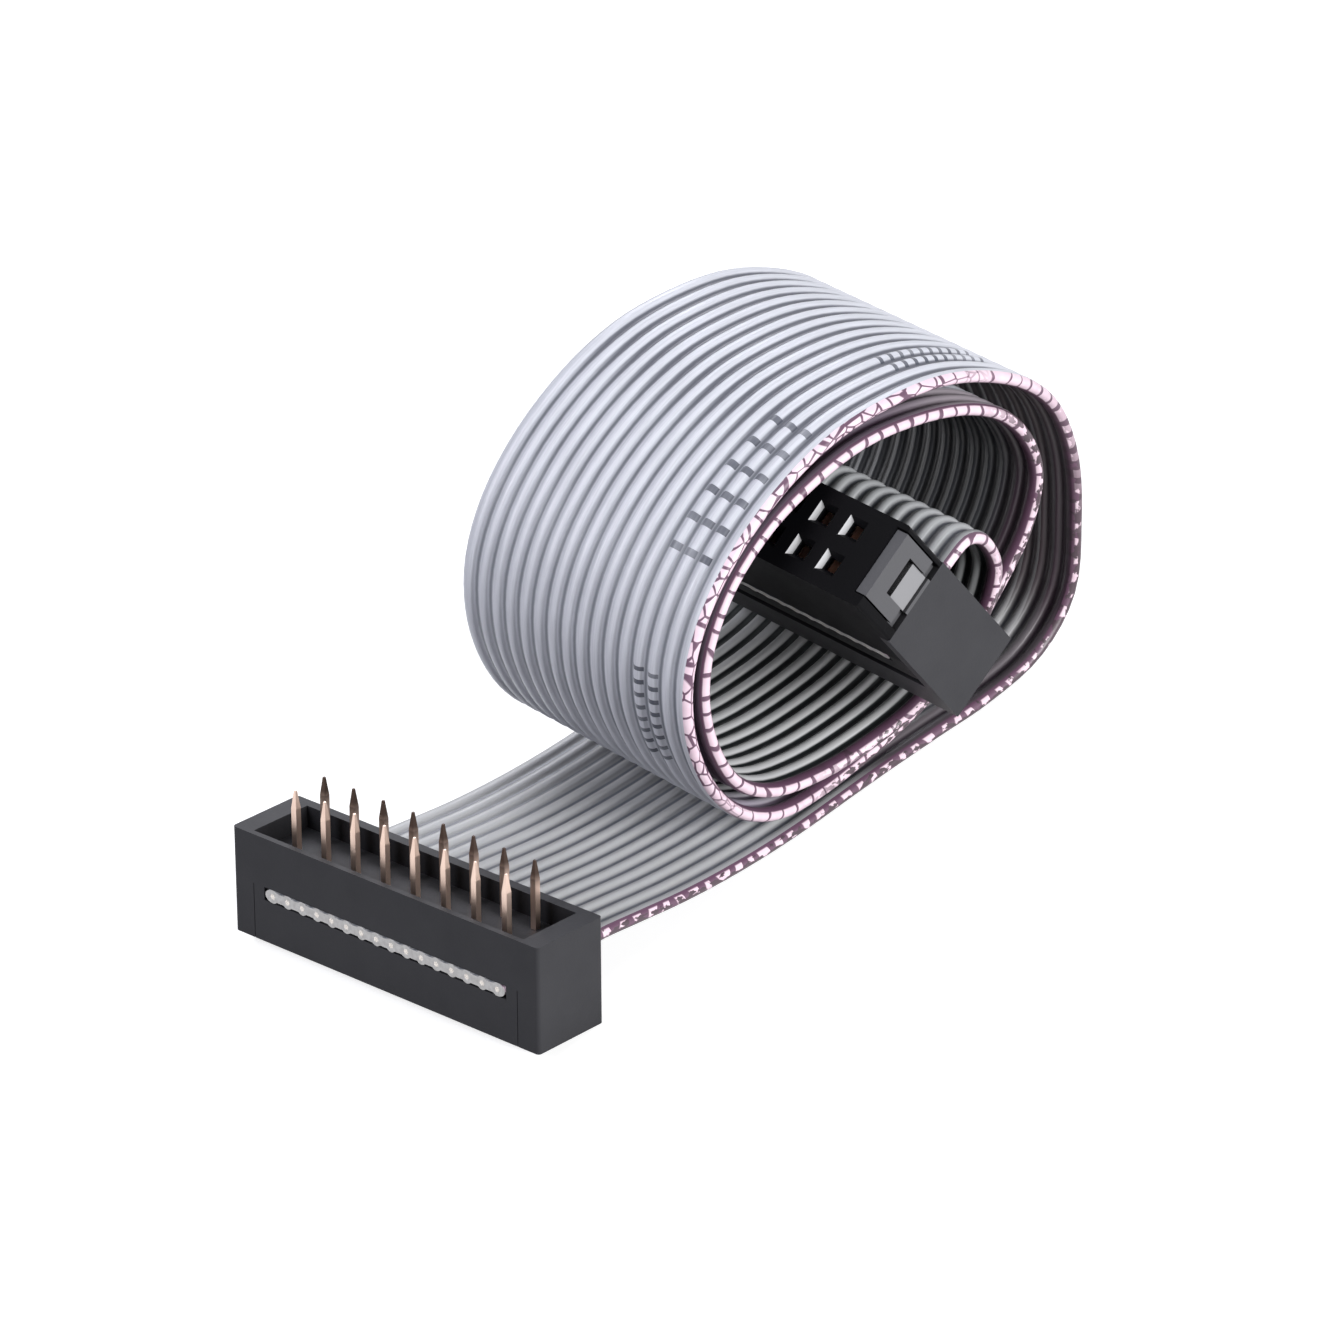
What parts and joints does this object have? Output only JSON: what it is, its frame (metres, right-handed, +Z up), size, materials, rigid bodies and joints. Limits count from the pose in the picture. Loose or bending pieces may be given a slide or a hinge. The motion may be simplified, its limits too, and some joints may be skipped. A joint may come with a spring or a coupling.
{
  "type": "ribbon cable",
  "caption": "Short flat ribbon cable with a low transition header on one end, rolled into a loose coil around the insulation-displacement socket on its other end.",
  "frame": {"origin": "centre of the header's underside", "axes": "+X along the header, +Y from the header towards the coil, +Z up from the surface that the assembly rests on"},
  "size_m": [0.0315, 0.0569, 0.0287],
  "materials": {
    "ribbon_pvc": "satin grey PVC, ridged over each wire",
    "header_plastic": "moulded glass-filled polyester, matte charcoal",
    "socket_plastic": "moulded glass-filled polyester, matte charcoal",
    "contact_gold": "plated copper alloy, rose gold tone"
  },
  "bodies": {
    "root": {"ribbon": "ribbon_pvc", "header_body": "header_plastic", "header_cover": "header_plastic", "header_contact_1": "contact_gold", "header_contact_2": "contact_gold", "header_contact_3": "contact_gold", "header_contact_4": "contact_gold", "header_contact_5": "contact_gold", "header_contact_6": "contact_gold", "header_contact_7": "contact_gold", "header_contact_8": "contact_gold", "header_contact_9": "contact_gold", "header_contact_10": "contact_gold", "header_contact_11": "contact_gold", "header_contact_12": "contact_gold", "header_contact_13": "contact_gold", "header_contact_14": "contact_gold", "header_contact_15": "contact_gold", "header_contact_16": "contact_gold", "socket_housing": "socket_plastic", "socket_cover": "socket_plastic", "strain_relief": "socket_plastic", "socket_contact_1": "contact_gold", "socket_contact_2": "contact_gold", "socket_contact_3": "contact_gold", "socket_contact_4": "contact_gold", "socket_contact_5": "contact_gold", "socket_contact_6": "contact_gold", "socket_contact_7": "contact_gold", "socket_contact_8": "contact_gold", "socket_contact_9": "contact_gold", "socket_contact_10": "contact_gold", "socket_contact_11": "contact_gold", "socket_contact_12": "contact_gold", "socket_contact_13": "contact_gold", "socket_contact_14": "contact_gold", "socket_contact_15": "contact_gold", "socket_contact_16": "contact_gold"}
  },
  "joints": []
}
